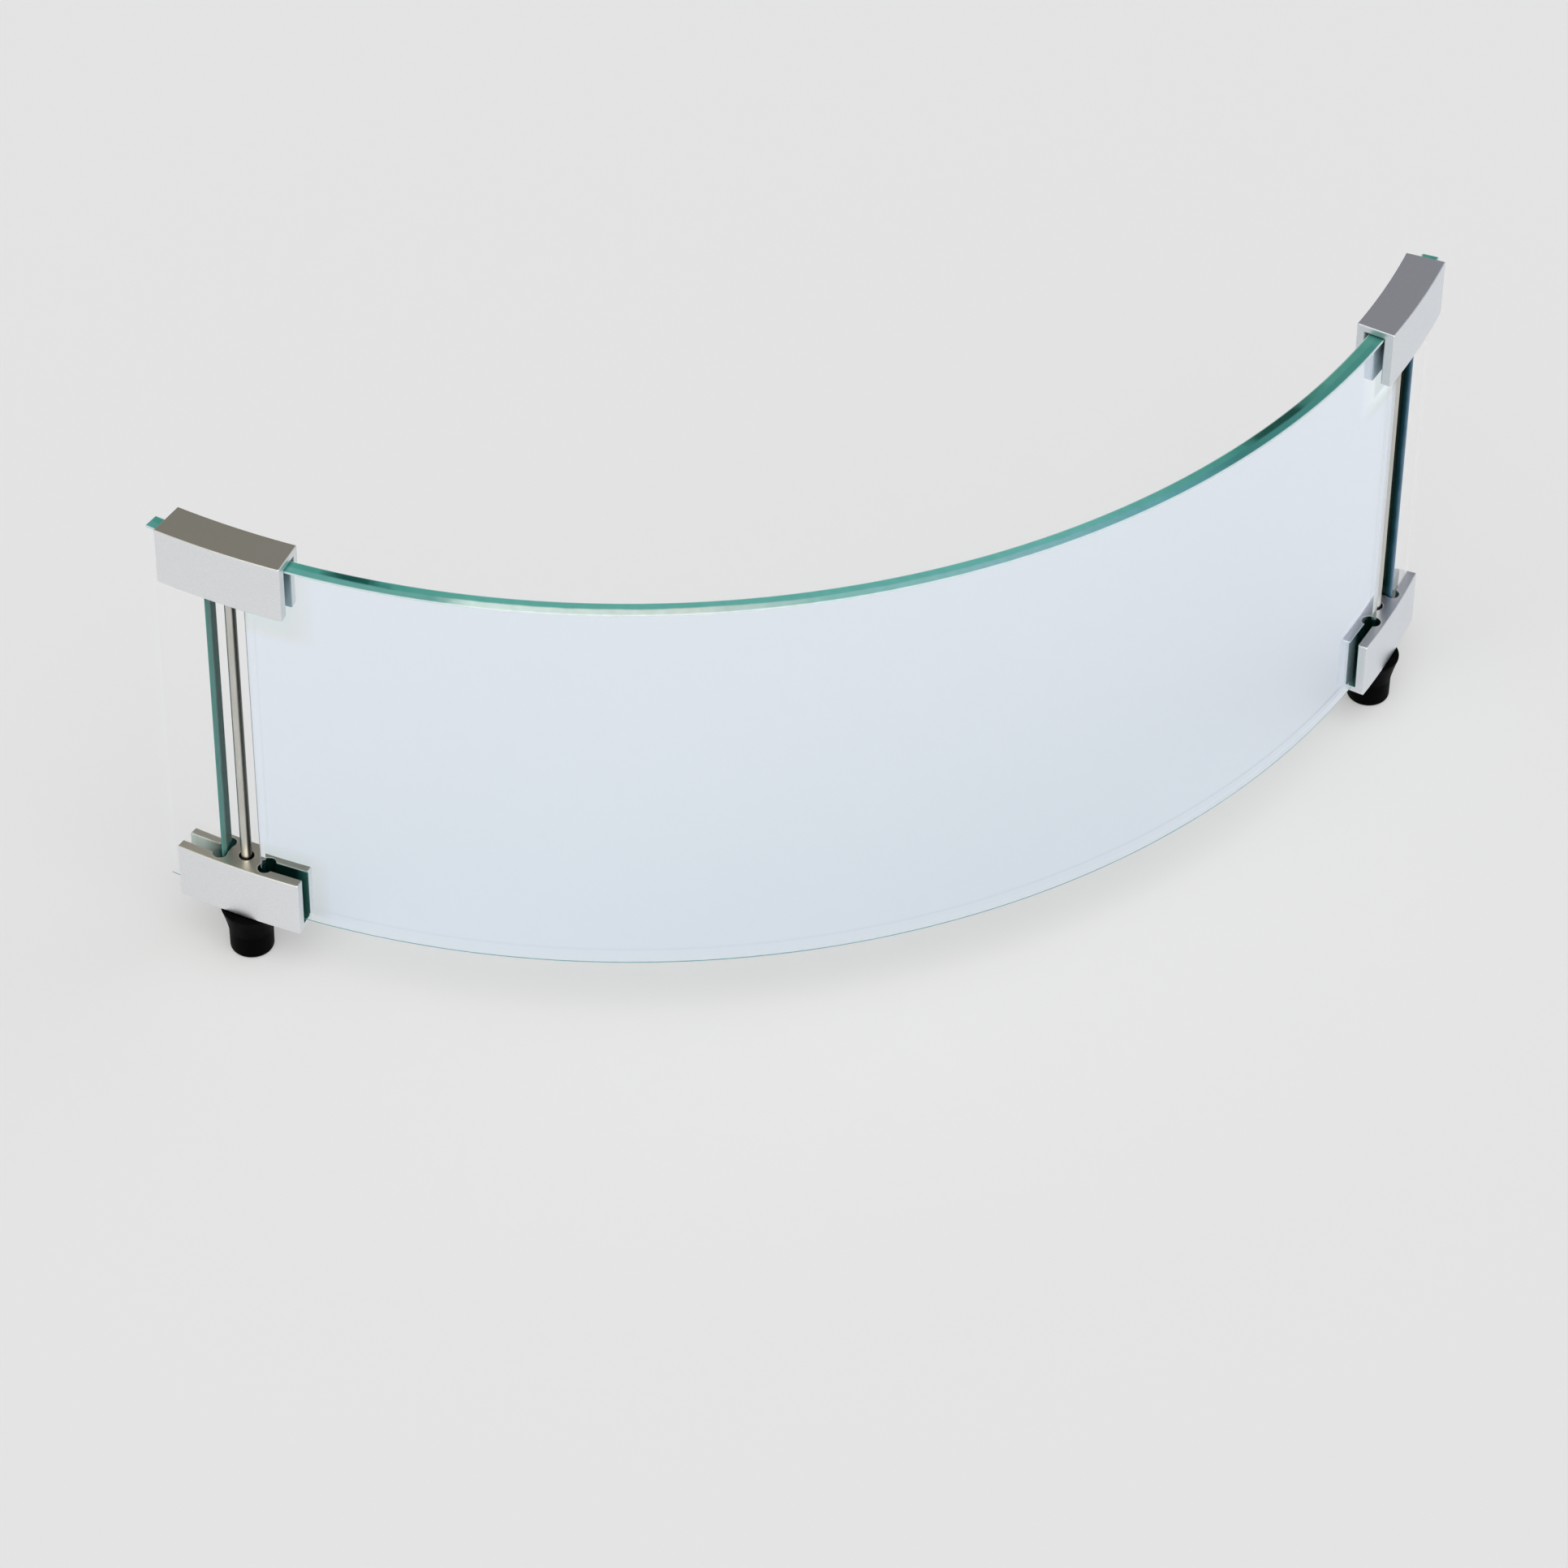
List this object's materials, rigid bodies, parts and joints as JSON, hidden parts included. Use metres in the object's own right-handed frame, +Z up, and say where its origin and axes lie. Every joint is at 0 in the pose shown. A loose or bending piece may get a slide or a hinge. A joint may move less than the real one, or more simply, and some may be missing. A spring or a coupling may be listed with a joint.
{
  "type": "curved glass guard",
  "caption": "Curved clear glass guard segment with slotted aluminium clamp brackets, tie rods and rubber screw feet.",
  "frame": {"origin": "on the table, under the middle of the bounding box", "axes": "+Z up; +X from the left bracket pair to the right one; the glass bulges towards -Y"},
  "size_m": [0.5986, 0.147, 0.2348],
  "materials": {
    "glass": "clear tempered float glass, polished edges, green tint seen through the edges",
    "aluminium": "fine bead-blasted and clear anodised",
    "stainless_steel": "satin stainless steel",
    "rubber": "black moulded rubber",
    "setting_pad": "dark grey rubber sheet",
    "brass": "turned brass, knurled"
  },
  "bodies": {
    "guard_frame": {"main_glass_panel": "glass", "left_bottom_bracket": "aluminium", "left_top_bracket": "aluminium", "left_glass_strip": "glass", "left_bottom_strip_pad": "setting_pad", "left_bottom_panel_pad": "setting_pad", "left_top_strip_pad": "setting_pad", "left_top_panel_pad": "setting_pad", "left_tie_rod": "stainless_steel", "left_rod_washer": "stainless_steel", "left_rod_nut": "stainless_steel", "right_bottom_bracket": "aluminium", "right_top_bracket": "aluminium", "right_glass_strip": "glass", "right_bottom_strip_pad": "setting_pad", "right_bottom_panel_pad": "setting_pad", "right_top_strip_pad": "setting_pad", "right_top_panel_pad": "setting_pad", "right_tie_rod": "stainless_steel", "right_rod_washer": "stainless_steel", "right_rod_nut": "stainless_steel"},
    "left_insert_body": {"left_foot_insert": "brass"},
    "left_foot_body": {"left_foot": "rubber"},
    "right_insert_body": {"right_foot_insert": "brass"},
    "right_foot_body": {"right_foot": "rubber"}
  },
  "joints": [
    {"name": "left_foot_lift", "type": "slide", "parent": "guard_frame", "child": "left_insert_body", "axis": [0, 0, 1], "range_m": [-0.006, 0]},
    {"name": "left_foot_turn", "type": "hinge", "parent": "left_insert_body", "child": "left_foot_body", "pos_m": [-0.27026, 0.04285, 0.012], "axis": [0, 0, 1], "range_deg": [-2700, 0]},
    {"name": "right_foot_lift", "type": "slide", "parent": "guard_frame", "child": "right_insert_body", "axis": [0, 0, 1], "range_m": [-0.006, 0]},
    {"name": "right_foot_turn", "type": "hinge", "parent": "right_insert_body", "child": "right_foot_body", "pos_m": [0.27026, 0.04285, 0.012], "axis": [0, 0, 1], "range_deg": [-2700, 0]}
  ],
  "couplings": [
    {"joint": "left_foot_lift", "follows": "left_foot_turn", "m_per_rad": 0.0001273},
    {"joint": "right_foot_lift", "follows": "right_foot_turn", "m_per_rad": 0.0001273}
  ]
}
